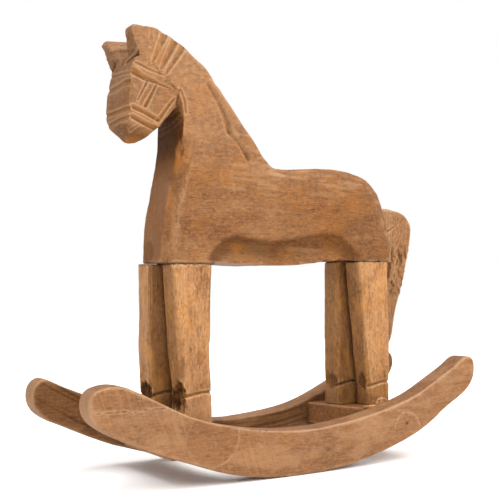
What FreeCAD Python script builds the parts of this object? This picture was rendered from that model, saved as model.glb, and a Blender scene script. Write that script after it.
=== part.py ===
"""Hand-carved wooden rocking horse ornament.

Frame: +X towards the nose, +Y to the horse's left, +Z up.  The origin is on the floor, under the
middle of the box round the whole object.  All sizes are in millimetres.
"""
import FreeCAD, Part
import os

V = FreeCAD.Vector

# Rockers: two curved boards standing on the floor.
ROCKER_THICKNESS = 13.6
ROCKER_SPACING = 84.4            # outer face to outer face
ROCKER_BEVEL = 1.1
# Side outlines as (x, z) points.  The boards are sawn by hand, and the right one came out slimmer.
ROCKER_OUTLINES = {
    "left": {
        "underside": [(-97, 24.8), (-66, 10.6), (-36, 3.4), (4, 0), (42.4, 4.1), (66, 10.9), (90.5, 19.9),
                      (107, 26.9)],
        "front end": [(117.6, 32.6), (123.2, 38.2), (124.5, 44.5), (122.4, 49.9), (117, 52.3), (109.5, 52.6)],
        "top": [(102, 50.2), (82.1, 41), (64.7, 33.9), (46, 28.8), (20, 24.8), (-4, 23.9), (-30, 26.2),
                (-57, 31.2), (-80, 38), (-98, 46.6), (-111, 53.4)],
        "rear end": [(-119.4, 57.8), (-124.4, 57.2), (-126.7, 51), (-124.9, 43.6), (-115.6, 35)],
    },
    "right": {
        "underside": [(-96, 25.9), (-66, 12.2), (-33, 3.5), (3.5, 0), (38, 2.6), (66.7, 8.6), (90.7, 16.8),
                      (108, 24.2)],
        "front end": [(119.4, 30), (125, 35.6), (126.7, 41.8), (125.2, 47.8), (121, 50.8), (115, 49.2)],
        "top": [(99.4, 42.4), (75, 33.2), (50, 26.6), (25, 22.8), (0, 21.7), (-19.3, 22.9), (-37.5, 25.7),
                (-56.3, 31.3), (-75, 39), (-92, 47.6)],
        "rear end": [(-105, 54.4), (-114.5, 57.8), (-121.4, 56.4), (-123.8, 50), (-121.4, 43.2), (-112, 35.2)],
    },
}

# Crossbars between the rockers.
BAR_WIDTH = 33.0
BAR_X = {"front": 58.0, "rear": -68.0}
BAR_BOTTOM = {"front": 12.1, "rear": 15.6}
BAR_TOP = {"front": 25.4, "rear": 28.9}          # in the middle
BAR_TOP_SLOPE = 0.038                            # the tops slope up a little to the left

# Body: one carved block for trunk, neck and head.
BODY_THICKNESS = 29.6
HEAD_TOP_THICKNESS = 26.6
BACK_ROUNDING = 3.6
CHEST_ROUNDING = 3.0
FRONT_SEAT = 112.2               # height of the flat that the front legs are glued to
REAR_SEAT = 115.6
FRONT_SEAT_BACK = 41.0           # where the front seat ends
REAR_SEAT_FRONT = -54.4          # where the rear seat starts
RUMP_X = -84.0
CHEST_X = 72.0

# Legs: four whittled posts, one long side upright and the other slanting in to the hoof.
LEG_WIDTH = 14.0
LEG_GAP = 1.6                    # between the left and the right leg
LEG_BEVEL = 2.0
ANKLE_Z = 42.3
KNEE_Z = 66.5
# Back and front x of each leg, at the hoof, the ankle, the knee and the top.
LEG_SIDES = {
    ("front", "left"): [(41.8, 60.6), (42.6, 61.0), (44.0, 63.6), (42.6, 67.2)],
    ("front", "right"): [(54.6, 72.8), (55.6, 73.0), (53.0, 73.8), (50.0, 74.4)],
    ("rear", "left"): [(-83.2, -66.0), (-83.0, -65.8), (-83.0, -63.0), (-82.0, -57.8)],
    ("rear", "right"): [(-72.0, -53.8), (-71.2, -53.8), (-74.4, -54.0), (-78.6, -54.0)],
}

# Tail: a flat wedge glued on the rump.
TAIL_THICKNESS = 12.0

# Hidden fixings.
DOWEL_RADIUS = 2.5
DOWEL_LENGTH = 22.0
NAIL_RADIUS = 0.9
NAIL_HEAD_RADIUS = 2.0
NAIL_HEAD_THICKNESS = 0.8
HOOF_NAIL_LENGTH = 26.0
ROCKER_NAIL_LENGTH = 30.0
NAIL_HEAD_DEPTH = 1.6            # how far the head is sunk in the rocker, under its plug
ROCKER_NAIL_X = {"front": 58.6, "rear": -70.4}

SIDES = {"left": 1, "right": -1}
ENDS = ("front", "rear")
BAR_HALF_SPAN = ROCKER_SPACING / 2 - ROCKER_THICKNESS


def polygon_face(points):
    """Flat face with straight sides through 3-D points."""
    return Part.Face(Part.makePolygon([V(*p) for p in points] + [V(*points[0])]))


def spline_edge(points, y):
    """Smooth edge through (x, z) points in the plane at the given y."""
    curve = Part.BSplineCurve()
    curve.interpolate([V(x, y, z) for x, z in points])
    return curve.toShape()


def closed_spline(points, stretches=6):
    """Smooth closed curve through (x, z) points in the plane y = 0, as a few edges end to end.

    One single edge would make the solid's computed volume wrong by some percent."""
    curve = Part.BSplineCurve()
    curve.interpolate(Points=[V(x, 0, z) for x, z in points], PeriodicFlag=True)
    knots = curve.getKnots()
    ends = [knots[round(i * (len(knots) - 1) / stretches)] for i in range(stretches + 1)]
    return [curve.toShape(start, end) for start, end in zip(ends, ends[1:])]


def line_edges(points, y):
    """Straight edges through (x, z) points."""
    return [Part.makeLine(V(a[0], y, a[1]), V(b[0], y, b[1])) for a, b in zip(points, points[1:])]


def slab(edges, thickness):
    """Plate standing in the XZ plane, made from an outline drawn at y = 0 and centred on it."""
    plate = Part.Face(Part.Wire(edges)).extrude(V(0, thickness, 0))
    plate.translate(V(0, -thickness / 2, 0))
    return plate


def prism(points, y_low, y_high):
    """Block with an (x, z) polygon outline between two y planes."""
    return polygon_face([(x, y_low, z) for x, z in points]).extrude(V(0, y_high - y_low, 0))


def cylinder(radius, start, direction, length):
    return Part.makeCylinder(radius, length, V(*start), V(*direction))


def fillet_near(shape, radius, wanted):
    """Round the edges whose middle point passes the test."""
    edges = [e for e in shape.Edges if wanted(e.valueAt((e.FirstParameter + e.LastParameter) / 2), e)]
    return shape.makeFillet(radius, edges)


# ---------------------------------------------------------------- rockers and crossbars

def rocker(side):
    """Board curved above and below, with a blunt flat-topped front end and a slimmer rear end."""
    outline = [point for stretch in ROCKER_OUTLINES[side].values() for point in stretch]
    board = slab(closed_spline(outline), ROCKER_THICKNESS)
    rims = [e for e in board.Edges if e.BoundBox.YLength < ROCKER_THICKNESS / 2]
    board = board.makeChamfer(ROCKER_BEVEL, rims)
    board.translate(V(0, SIDES[side] * (ROCKER_SPACING - ROCKER_THICKNESS) / 2, 0))
    for end in ENDS:
        for hole in (rocker_nail(end, side), nail_plug(end, side)):
            board = board.cut(hole)
    return board


def bar_top(end, y):
    return BAR_TOP[end] + BAR_TOP_SLOPE * y


def under_bar_top(end):
    """Everything below the level of a crossbar's sloping top."""
    x, reach = BAR_X[end] - BAR_WIDTH, ROCKER_SPACING
    outline = [(x, -reach, -1), (x, reach, -1), (x, reach, bar_top(end, reach)),
               (x, -reach, bar_top(end, -reach))]
    return polygon_face(outline).extrude(V(2 * BAR_WIDTH, 0, 0))


def crossbar(end):
    back_x, half = BAR_X[end] - BAR_WIDTH / 2, BAR_HALF_SPAN
    outline = [(back_x, -half, BAR_BOTTOM[end]), (back_x, half, BAR_BOTTOM[end]),
               (back_x, half, bar_top(end, half)), (back_x, -half, bar_top(end, -half))]
    bar = polygon_face(outline).extrude(V(BAR_WIDTH, 0, 0))
    bar = fillet_near(bar, 0.7, lambda p, e: e.BoundBox.YLength > BAR_WIDTH)
    for side in SIDES:
        bar = bar.cut(rocker_nail(end, side)).cut(hoof_nail(end, side))
    return bar


# ---------------------------------------------------------------- fixings

def nail(head_point, direction, length):
    """Round wire nail with a flat head."""
    head = cylinder(NAIL_HEAD_RADIUS, head_point, direction, NAIL_HEAD_THICKNESS)
    shank = cylinder(NAIL_RADIUS, head_point, direction, length - 2 * NAIL_RADIUS)
    end = V(*head_point) + V(*direction) * (length - 2 * NAIL_RADIUS)
    point = Part.makeCone(NAIL_RADIUS, 0, 2 * NAIL_RADIUS, end, V(*direction))
    return head.fuse([shank, point]).removeSplitter()


def nail_height(end):
    return (BAR_BOTTOM[end] + BAR_TOP[end]) / 2


def rocker_nail(end, side):
    """Nail from the outer face of a rocker into the end grain of a crossbar."""
    s = SIDES[side]
    head_y = s * (ROCKER_SPACING / 2 - NAIL_HEAD_DEPTH)
    return nail((ROCKER_NAIL_X[end], head_y, nail_height(end)), (0, -s, 0), ROCKER_NAIL_LENGTH)


def nail_plug(end, side):
    """Disc of wood filler over a sunken nail head, flush with the rocker's outer face."""
    s = SIDES[side]
    start = (ROCKER_NAIL_X[end], s * (ROCKER_SPACING / 2 - NAIL_HEAD_DEPTH), nail_height(end))
    return cylinder(NAIL_HEAD_RADIUS, start, (0, s, 0), NAIL_HEAD_DEPTH)


def leg_y(side):
    return SIDES[side] * (LEG_GAP + LEG_WIDTH) / 2


def hoof_nail(end, side):
    """Nail driven up through a crossbar into the hoof."""
    return nail((leg_middle(end, side, 0), leg_y(side), BAR_BOTTOM[end]), (0, 0, 1), HOOF_NAIL_LENGTH)


def hip_dowel(end, side):
    """Hidden dowel, half in the leg and half in the body."""
    top_x = leg_middle(end, side, -1)
    seat = FRONT_SEAT if end == "front" else REAR_SEAT
    return cylinder(DOWEL_RADIUS, (top_x, leg_y(side), seat - DOWEL_LENGTH / 2), (0, 0, 1), DOWEL_LENGTH)


def tail_dowel():
    """Hidden dowel, half in the rump and half in the tail."""
    return cylinder(DOWEL_RADIUS, (RUMP_X - 9, 0, 133), (1, 0, 0), 19)


# ---------------------------------------------------------------- legs

LEGS = [(end, side) for end in ENDS for side in SIDES]


def leg_middle(end, side, level):
    return sum(LEG_SIDES[end, side][level]) / 2


def leg_section(x1, x2, y, z):
    """Octagonal slice of a leg."""
    y1, y2 = y - LEG_WIDTH / 2, y + LEG_WIDTH / 2
    b = LEG_BEVEL
    corners = [(x1 + b, y1), (x2 - b, y1), (x2, y1 + b), (x2, y2 - b),
               (x2 - b, y2), (x1 + b, y2), (x1, y2 - b), (x1, y1 + b)]
    return Part.makePolygon([V(cx, cy, z) for cx, cy in corners + corners[:1]])


def leg(end, side):
    """Post from the sloping top of its crossbar up to the flat seat on the body."""
    levels = [BAR_BOTTOM[end], ANKLE_Z, KNEE_Z, FRONT_SEAT if end == "front" else REAR_SEAT]
    wires = [leg_section(*sides, leg_y(side), z) for sides, z in zip(LEG_SIDES[end, side], levels)]
    post = Part.makeLoft(wires, True, True).cut(under_bar_top(end))
    return post.cut(hip_dowel(end, side)).cut(hoof_nail(end, side))


# ---------------------------------------------------------------- body

def trunk_and_neck():
    """Plate with the side outline of trunk and neck, up to the poll behind the ears."""
    chest = [(CHEST_X, FRONT_SEAT), (70.5, 130), (67.2, 151), (64.0, 167), (62.9, 179), (62.4, 190), (64, 201)]
    poll = [(64, 201), (72, 212), (83, 219), (80, 229), (76, 235.3)]
    crest_and_back = [
        (76, 235.3), (69, 233.1), (60.5, 228.8), (52, 223.1), (44.6, 217), (36.6, 207.2), (29.4, 199),
        (21.6, 189), (13.7, 179.8), (7, 171.6), (1.5, 168), (-8, 167.4), (-23.4, 168.6), (-40, 169.8),
        (-54.5, 168.8), (-65, 166), (-73.3, 160.6), (-79, 152), (-82.6, 140), (-83.9, 127),
        (RUMP_X, REAR_SEAT),
    ]
    belly_rear, belly_front = REAR_SEAT + 1.0, FRONT_SEAT + 1.7
    rump = [(RUMP_X, REAR_SEAT), (REAR_SEAT_FRONT, REAR_SEAT), (REAR_SEAT_FRONT, belly_rear)]
    belly = [(REAR_SEAT_FRONT, belly_rear), (-40, 115.2), (-20, 113.4), (0, 112.2), (16, 112.4), (30, 113),
             (FRONT_SEAT_BACK, belly_front)]
    front_seat = [(FRONT_SEAT_BACK, belly_front), (FRONT_SEAT_BACK, FRONT_SEAT), (CHEST_X, FRONT_SEAT)]
    edges = [spline_edge(chest, 0)] + line_edges(poll, 0) + [spline_edge(crest_and_back, 0)]
    edges += line_edges(rump, 0) + [spline_edge(belly, 0)] + line_edges(front_seat, 0)
    plate = slab(edges, BODY_THICKNESS)

    def long_edge(p, e):
        return abs(abs(p.y) - BODY_THICKNESS / 2) < 1e-3

    def on_back(p, e):
        return long_edge(p, e) and p.z > 120 and p.x < 40 and e.Length > 150

    def on_chest(p, e):
        return long_edge(p, e) and p.x > 60 and 140 < p.z < 165 and e.Length > 60

    plate = fillet_near(plate, BACK_ROUNDING, on_back)
    plate = fillet_near(plate, CHEST_ROUNDING, on_chest)
    scoop = belly_scoop()
    plate = plate.cut([scoop, scoop.mirror(V(0, 0, 0), V(0, 1, 0))])
    return plate.common(front_view_taper())


def belly_scoop():
    """Cutter for the shallow knife-cut bevel along the belly's lower left edge, between the legs."""
    low, face = REAR_SEAT - 6, BODY_THICKNESS / 2
    stations = [(-54, -0.3, 7), (-47, 1.5, 9), (-28, 2.3, 10), (-8, 1.9, 10.5), (12, 2.5, 13), (31, 2.2, 11.5),
                (40.5, -0.3, 8.5)]
    rings = []
    for x, depth, height in stations:
        corners = [(face - depth, low), (face + 1, low), (face + 1, low + height), (face, low + height)]
        rings.append(Part.makePolygon([V(x, y, z) for y, z in corners + corners[:1]]))
    return Part.makeLoft(rings, True, True)


def front_view_taper():
    """Block that narrows the neck from the trunk's thickness to the head's."""
    low, high = BODY_THICKNESS / 2, HEAD_TOP_THICKNESS / 2
    outline = [(-100, -low, 90), (-100, low, 90), (-100, low, 172), (-100, high, 245),
               (-100, -high, 245), (-100, -low, 172)]
    return polygon_face(outline).extrude(V(220, 0, 0))


# One row per level of the head: height, front x on the left, front x on the right, back x,
# half width, and the size of the bevel on the front corners.
HEAD_LEVELS = [
    (176.0, 87.4, 87.8, 83.2, 3.0, 1.2),
    (179.5, 89.8, 90.6, 77.6, 5.4, 1.8),
    (184.5, 93.0, 95.0, 72.6, 9.2, 2.4),
    (190.0, 92.6, 95.8, 68.4, 10.6, 2.6),
    (198.0, 92.6, 94.8, 62.0, 11.9, 2.6),
    (207.0, 93.0, 92.6, 60.0, 13.0, 2.2),
    (214.5, 90.4, 91.0, 60.0, 13.2, 2.0),
    (220.5, 87.8, 89.4, 64.0, 13.2, 2.0),
]


def head():
    """Head below the ears, lofted with flat facets as a knife leaves them."""
    wires = []
    for z, left, right, back, half, bevel in HEAD_LEVELS:
        ring = [(back, -half), (right - bevel, -half), (right, bevel - half), (left, half - bevel),
                (left - bevel, half), (back, half)]
        wires.append(Part.makePolygon([V(x, y, z) for x, y in ring + ring[:1]]))
    return Part.makeLoft(wires, True, True)


def ears():
    """Two ears, one each side of a V-shaped cut that runs back over the poll."""
    half = HEAD_TOP_THICKNESS / 2
    left = prism([(70, 216), (86.6, 216), (87.2, 222), (91.2, 233.4), (89.8, 236.4), (76, 235.8),
                  (70, 232)], -1, half)
    right = prism([(70, 216), (90.6, 215.4), (93.0, 222), (96.2, 230.4), (95.0, 232.8), (78, 233.8),
                   (70, 231.4)], -half, 0)
    return left.fuse(right)


def ear_notch():
    """V-shaped cut between the ears, steeper on the left, fading out towards the crest."""
    triangle = [(98, 0.2, 216.2), (98, 7.0, 236.5), (98, 7.0, 246), (98, -8.2, 246), (98, -8.0, 229.6)]
    return polygon_face(triangle).extrude(V(-38, 0, 15.5))


def body():
    block = trunk_and_neck().fuse([head(), ears()]).removeSplitter()
    block = block.cut(ear_notch())
    for end, side in LEGS:
        block = block.cut(hip_dowel(end, side))
    return block.cut(tail_dowel())


def tail():
    """Wedge with a rounded top, tapering down behind the hind legs; its front is cut to the rump."""
    inside_rump = RUMP_X + 8
    back = [(inside_rump, 150.4), (-92.7, 148.6), (-99, 147.4), (-104.8, 144.2), (-108.2, 138.6), (-108.2, 131),
            (-104, 112.5), (-98.6, 94.4), (-93.4, 76), (-91, 67.6), (-88.4, 63.6)]
    front = [(-88.4, 63.6), (-85.8, 64.6), (-84.5, REAR_SEAT), (inside_rump, REAR_SEAT), (inside_rump, 150.4)]
    blade = slab([spline_edge(back, 0)] + line_edges(front, 0), TAIL_THICKNESS)
    blade = fillet_near(blade, 1.5, lambda p, e: e.BoundBox.YLength < 1e-6 and e.Length > 90)
    return blade.cut([trunk_and_neck(), tail_dowel()])


# ---------------------------------------------------------------- glue

def glue_bead():
    """Bead of hardened glue in the corner between the left hind hoof and the crossbar."""
    bead = Part.makeSphere(1.0)
    stretch = FreeCAD.Matrix()
    stretch.scale(5.6, 1.9, 4.6)
    bead = bead.transformGeometry(stretch)
    y = LEG_GAP / 2 + LEG_WIDTH
    bead.translate(V(-75.4, y, bar_top("rear", y)))
    return bead.cut([under_bar_top("rear"), leg("rear", "left")])


def glue_strand():
    """Squeezed-out glue along the joint of the rear crossbar and the left rocker."""
    y = BAR_HALF_SPAN - 0.9
    z = bar_top("rear", y) + 0.1
    start_x, length = BAR_X["rear"] - 3.7, 19.0
    strand = cylinder(1.5, (start_x, y, z), (1, 0, 0), length)
    strand = strand.fuse(Part.makeSphere(1.9, V(start_x + length, y, z))).removeSplitter()
    beside = Part.makeBox(60, 20, 20, V(-110, BAR_HALF_SPAN, z - 10))
    return strand.cut([under_bar_top("rear"), beside])


def build():
    nodes = {
        "body": body(),
        "tail": tail(),
        "dowel_tail": tail_dowel(),
        "crossbar_front": crossbar("front"),
        "crossbar_rear": crossbar("rear"),
        "glue_bead_hoof": glue_bead(),
        "glue_strand_crossbar": glue_strand(),
    }
    for side in SIDES:
        nodes["rocker_" + side] = rocker(side)
        for end in ENDS:
            nodes[f"leg_{end}_{side}"] = leg(end, side)
            nodes[f"dowel_hip_{end}_{side}"] = hip_dowel(end, side)
            nodes[f"nail_hoof_{end}_{side}"] = hoof_nail(end, side)
            nodes[f"nail_rocker_{end}_{side}"] = rocker_nail(end, side)
            nodes[f"plug_rocker_{end}_{side}"] = nail_plug(end, side)
    return nodes


os.makedirs("parts", exist_ok=True)
for name, shape in build().items():
    shape = shape.Solids[0] if len(shape.Solids) == 1 else shape
    shape.exportStep(f"parts/{name}.step")
    box = shape.BoundBox
    print(f"{name:26s} solids {len(shape.Solids)} valid {shape.isValid()} volume {shape.Volume:9.0f} "
          f"x {box.XMin:7.1f} {box.XMax:7.1f}  y {box.YMin:6.1f} {box.YMax:6.1f}  z {box.ZMin:6.1f} {box.ZMax:6.1f}")
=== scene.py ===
import math

import bmesh
import bpy
import numpy as np
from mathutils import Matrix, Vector, kdtree, noise


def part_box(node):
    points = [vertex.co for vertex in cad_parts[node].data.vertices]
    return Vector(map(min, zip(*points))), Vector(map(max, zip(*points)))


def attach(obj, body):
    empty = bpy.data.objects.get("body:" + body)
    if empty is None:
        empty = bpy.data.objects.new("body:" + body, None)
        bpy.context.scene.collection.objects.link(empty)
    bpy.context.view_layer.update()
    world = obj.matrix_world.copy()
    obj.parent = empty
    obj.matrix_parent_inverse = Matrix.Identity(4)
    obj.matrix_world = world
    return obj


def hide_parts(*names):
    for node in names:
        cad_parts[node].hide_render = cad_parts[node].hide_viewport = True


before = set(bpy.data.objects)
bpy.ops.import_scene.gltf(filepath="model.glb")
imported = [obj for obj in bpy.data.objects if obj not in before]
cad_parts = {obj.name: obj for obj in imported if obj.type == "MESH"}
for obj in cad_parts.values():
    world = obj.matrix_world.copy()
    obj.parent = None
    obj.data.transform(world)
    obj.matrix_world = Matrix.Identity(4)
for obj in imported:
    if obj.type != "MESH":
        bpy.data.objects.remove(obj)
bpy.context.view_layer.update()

MM = 0.001
SIDES = {"left": 1, "right": -1}
ENDS = ("front", "rear")

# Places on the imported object, in millimetres.
BODY_SIDE_Y = 14.7                # just inside the body's flat sides
ROCKER_SIDE_Y = 42.2              # outer faces of the rockers
SEAT_Z = {"front": 112.2, "rear": 115.6}
SEAT_X = {"front": 41, "rear": -54}    # inner ends of the two seats
ANKLE_Z = {"front": 42.5, "rear": 41.6}
PLUG_HOLE_RADIUS = 2.3
PATCH_Z = 24.0                    # middle of the sanded patch over the front plug
PATCH_RADIUS = 14.0
RING_RADIUS = 9.2                 # round the filler over the rear plug

# Camera, in metres in the row frame.
CAMERA_PLACE = Vector((0.28757, 0.43322, 0.09753))
CAMERA_LOOK = Vector((-0.53851, -0.84137, 0.04588))
CAMERA_LENS_MM = 64.8
SENSOR_MM = 36.0

# Studio, in metres and watts.
AIM = (0, 0, 0.12)
KEY_LIGHT = {"place": (-0.35, 0.85, 0.95), "size": (1.3, 1.1), "power": 15.5, "colour": (1.0, 0.97, 0.93)}
TOP_LIGHT = {"place": (-0.05, 0.0, 1.3), "size": (1.2, 1.2), "power": 9.0}
FLOOR_HALF = 6.0


# ---------------------------------------------------------------- camera, light and floor

def make_camera():
    data = bpy.data.cameras.new("camera")
    data.sensor_width = SENSOR_MM
    data.lens = CAMERA_LENS_MM
    data.clip_start, data.clip_end = 0.01, 50.0
    camera = bpy.data.objects.new("camera", data)
    camera.location = CAMERA_PLACE
    camera.rotation_euler = CAMERA_LOOK.to_track_quat("-Z", "Y").to_euler()
    bpy.context.scene.collection.objects.link(camera)
    bpy.context.scene.camera = camera


def area_light(name, place, size, power, colour=(1.0, 1.0, 1.0)):
    """Soft box that faces the middle of the object."""
    data = bpy.data.lights.new(name, "AREA")
    data.shape = "RECTANGLE"
    data.size, data.size_y = size
    data.energy = power
    data.color = colour
    light = bpy.data.objects.new(name, data)
    light.location = place
    light.rotation_euler = (Vector(AIM) - Vector(place)).to_track_quat("-Z", "Y").to_euler()
    bpy.context.scene.collection.objects.link(light)


def make_studio():
    world = bpy.data.worlds.new("studio")
    world.use_nodes = True
    backdrop = world.node_tree.nodes["Background"]
    backdrop.inputs["Color"].default_value = (1.0, 1.0, 1.0, 1.0)
    backdrop.inputs["Strength"].default_value = 1.0
    bpy.context.scene.world = world
    bpy.context.scene.view_settings.view_transform = "Standard"
    area_light("key", **KEY_LIGHT)
    area_light("top", **TOP_LIGHT)
    mesh = bpy.data.meshes.new("floor")
    corners = [(FLOOR_HALF * x, FLOOR_HALF * y, 0) for x, y in ((-1, -1), (1, -1), (1, 1), (-1, 1))]
    mesh.from_pydata(corners, [], [(0, 1, 2, 3)])
    floor = bpy.data.objects.new("floor", mesh)
    bpy.context.scene.collection.objects.link(floor)
    paint = bpy.data.materials.new("pale_floor")
    paint.use_nodes = True
    shader = paint.node_tree.nodes["Principled BSDF"]
    shader.inputs["Base Color"].default_value = (1.0, 1.0, 1.0, 1)
    shader.inputs["Roughness"].default_value = 0.9
    shader.inputs["Specular IOR Level"].default_value = 0.1
    mesh.materials.append(paint)


# ---------------------------------------------------------------- materials

class Graph:
    """Short calls for building one material's node tree."""

    def __init__(self, name):
        self.material = bpy.data.materials.new(name)
        self.material.use_nodes = True
        self.tree = self.material.node_tree
        self.shader = self.tree.nodes["Principled BSDF"]
        self.place = self.node("ShaderNodeTexCoord").outputs["Object"]

    def node(self, kind, **settings):
        made = self.tree.nodes.new(kind)
        for key, value in settings.items():
            setattr(made, key, value)
        return made

    def link(self, source, target):
        self.tree.links.new(source, target)

    def feed(self, socket, value):
        if isinstance(value, (int, float)):
            socket.default_value = value
        elif isinstance(value, tuple):
            socket.default_value = (*value, 1.0)
        else:
            self.link(value, socket)

    def mapped(self, scale, offset=(0, 0, 0)):
        mapping = self.node("ShaderNodeMapping")
        mapping.inputs["Scale"].default_value = scale
        mapping.inputs["Location"].default_value = offset
        self.link(self.place, mapping.inputs["Vector"])
        return mapping.outputs["Vector"]

    def noise(self, vector, detail=3.0, roughness=0.55, distortion=0.0):
        made = self.node("ShaderNodeTexNoise")
        self.link(vector, made.inputs["Vector"])
        for key, value in (("Scale", 1.0), ("Detail", detail), ("Roughness", roughness),
                           ("Distortion", distortion)):
            made.inputs[key].default_value = value
        return made.outputs["Fac"]

    def ramp(self, value, low, high, out_low=0.0, out_high=1.0):
        made = self.node("ShaderNodeMapRange", clamp=True, interpolation_type="SMOOTHSTEP")
        self.link(value, made.inputs["Value"])
        for key, number in (("From Min", low), ("From Max", high), ("To Min", out_low), ("To Max", out_high)):
            made.inputs[key].default_value = number
        return made.outputs["Result"]

    def mix(self, factor, first, second):
        made = self.node("ShaderNodeMix", data_type="RGBA")
        for socket, value in zip((made.inputs[0], made.inputs[6], made.inputs[7]), (factor, first, second)):
            self.feed(socket, value)
        return made.outputs[2]

    def math(self, operation, first, second=0.0):
        made = self.node("ShaderNodeMath", operation=operation)
        for socket, value in zip(made.inputs, (first, second)):
            self.feed(socket, value)
        return made.outputs[0]

    def mask(self, name, strength=1.0):
        value = self.node("ShaderNodeAttribute", attribute_name=name).outputs["Fac"]
        return self.math("MULTIPLY", value, strength)

    def bump(self, height, strength, distance):
        made = self.node("ShaderNodeBump")
        made.inputs["Strength"].default_value = strength
        made.inputs["Distance"].default_value = distance
        self.link(height, made.inputs["Height"])
        self.link(made.outputs["Normal"], self.shader.inputs["Normal"])


PALE_WOOD_AND_HIGHLIGHT = (0.44, 0.245, 0.120)
BURN_AND_SHADE_COLOUR = (0.030, 0.010, 0.005)
SAW_LEAN = 0.36                   # radians from upright


def shade(colour, factor):
    return tuple(min(1.0, channel * factor) for channel in colour)


def wood(name, base, light, dark, ochre, grain, seed, pores=0.5, saw=0.0, roughness=0.5, blotch=0.6,
         grit=1.0):
    """Stained, oiled hardwood with its grain along one axis (0, 1 or 2).

    pores, blotch and grit are how strong the pores, the dark clouds and the fine dirt are, and saw is how
    strong the saw marks are where the mask "sawn" is set.  The other masks are what the carving leaves on the
    mesh; they also carry painted shade and painted highlights."""
    g = Graph(name)

    def along(long_scale, cross_scale, shift=0.0):
        scale = [cross_scale] * 3
        scale[grain] = long_scale
        return g.mapped(tuple(scale), (seed * 1.7 + shift, seed * 0.9, seed * 2.3 - shift))

    figure = g.ramp(g.noise(along(9, 70), 3, 0.55, 1.0), 0.42, 0.60)
    fibre = g.noise(along(70, 900), 4, 0.75)
    fine = g.noise(along(330, 2300, 5.0), 3, 0.7)
    streak = g.ramp(g.noise(along(22, 360, 3.0), 3, 0.6, 0.4), 0.52, 0.70)
    pore = g.ramp(g.noise(along(240, 1700, 7.0), 2, 0.4), 0.61, 0.69)
    patches = g.noise(g.mapped((24, 24, 24), (seed, seed * 3, 0)), 5, 0.62, 0.8)
    warm = g.noise(g.mapped((36, 36, 22), (seed * 5, 1, seed)), 4, 0.65, 0.5)
    speck = g.noise(g.mapped((520, 520, 520), (seed, 0, 0)), 3, 0.7)
    colour = g.mix(figure, base, light)
    colour = g.mix(g.ramp(warm, 0.48, 0.64, 0.0, 0.8), colour, ochre)
    colour = g.mix(g.math("MULTIPLY", g.ramp(patches, 0.50, 0.66), blotch), colour, dark)
    colour = g.mix(g.math("MULTIPLY", streak, 0.34), colour, shade(dark, 0.8))
    colour = g.mix(g.ramp(fibre, 0.36, 0.68, 0.0, 0.40), colour, shade(light, 1.45))
    colour = g.mix(g.ramp(fibre, 0.30, 0.46, 0.34 * grit, 0.0), colour, shade(dark, 0.6))
    colour = g.mix(g.ramp(fine, 0.50, 0.70, 0.0, 0.60), colour, shade(light, 1.8))
    colour = g.mix(g.ramp(fine, 0.30, 0.48, 0.42 * grit, 0.0), colour, shade(dark, 0.6))
    colour = g.mix(g.math("MULTIPLY", pore, pores), colour, shade(dark, 0.35))
    colour = g.mix(g.ramp(speck, 0.30, 0.48, 0.38 * grit, 0.0), colour, shade(dark, 0.6))
    colour = g.mix(g.ramp(speck, 0.54, 0.70, 0.0, 0.40), colour, shade(light, 1.8))
    # Pale wood, and painted highlights.
    colour = g.mix(g.mask("pale_and_highlight", 0.5), colour, PALE_WOOD_AND_HIGHLIGHT)
    turned = g.node("ShaderNodeMapping", vector_type="TEXTURE")
    turned.inputs["Rotation"].default_value = (0.0, SAW_LEAN, 0.0)
    turned.inputs["Scale"].default_value = (1 / 880, 1 / 60, 1 / 38)
    g.link(g.place, turned.inputs["Vector"])
    saw_lines = g.ramp(g.noise(turned.outputs["Vector"], 2, 0.5), 0.44, 0.66)
    saw_lines = g.math("MULTIPLY", saw_lines, g.mask("sawn", saw))
    colour = g.mix(g.math("MULTIPLY", saw_lines, 0.26), colour, shade(light, 1.8))
    # Wear, and painted sheens and highlights: a paler, less orange colour.
    wear_and_sheen_colour = (light[0] * 1.7 + 0.12, light[1] * 1.9 + 0.10, light[2] * 1.9 + 0.08)
    colour = g.mix(g.mask("wear_and_sheen", 0.72), colour, wear_and_sheen_colour)
    # Stain, and painted shade: a darker brown.
    colour = g.mix(g.mask("stain_and_shade", 0.8), colour, shade(dark, 0.42))
    colour = g.mix(g.mask("fresh", 0.75), colour, shade(ochre, 1.15))
    # Char and dark joints, and painted shade: charcoal, mottled.
    dark_mottle = g.ramp(g.noise(along(160, 900, 1.0), 4, 0.7), 0.40, 0.60, 1.0, 0.25)
    colour = g.mix(g.math("MULTIPLY", g.mask("burn_and_shade"), dark_mottle), colour, BURN_AND_SHADE_COLOUR)
    g.link(colour, g.shader.inputs["Base Color"])
    g.link(g.ramp(fibre, 0.2, 0.8, roughness - 0.08, roughness + 0.16), g.shader.inputs["Roughness"])
    height = g.math("ADD", g.math("MULTIPLY", fibre, 0.7), g.math("MULTIPLY", pore, -0.6))
    height = g.math("ADD", height, g.math("MULTIPLY", speck, 0.35))
    height = g.math("ADD", height, g.math("MULTIPLY", saw_lines, 1.2))
    g.bump(height, 0.75, 0.0003)
    g.link(g.math("SUBTRACT", 0.2, g.mask("stain_and_shade", 0.2)), g.shader.inputs["Specular IOR Level"])
    return g.material


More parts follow.
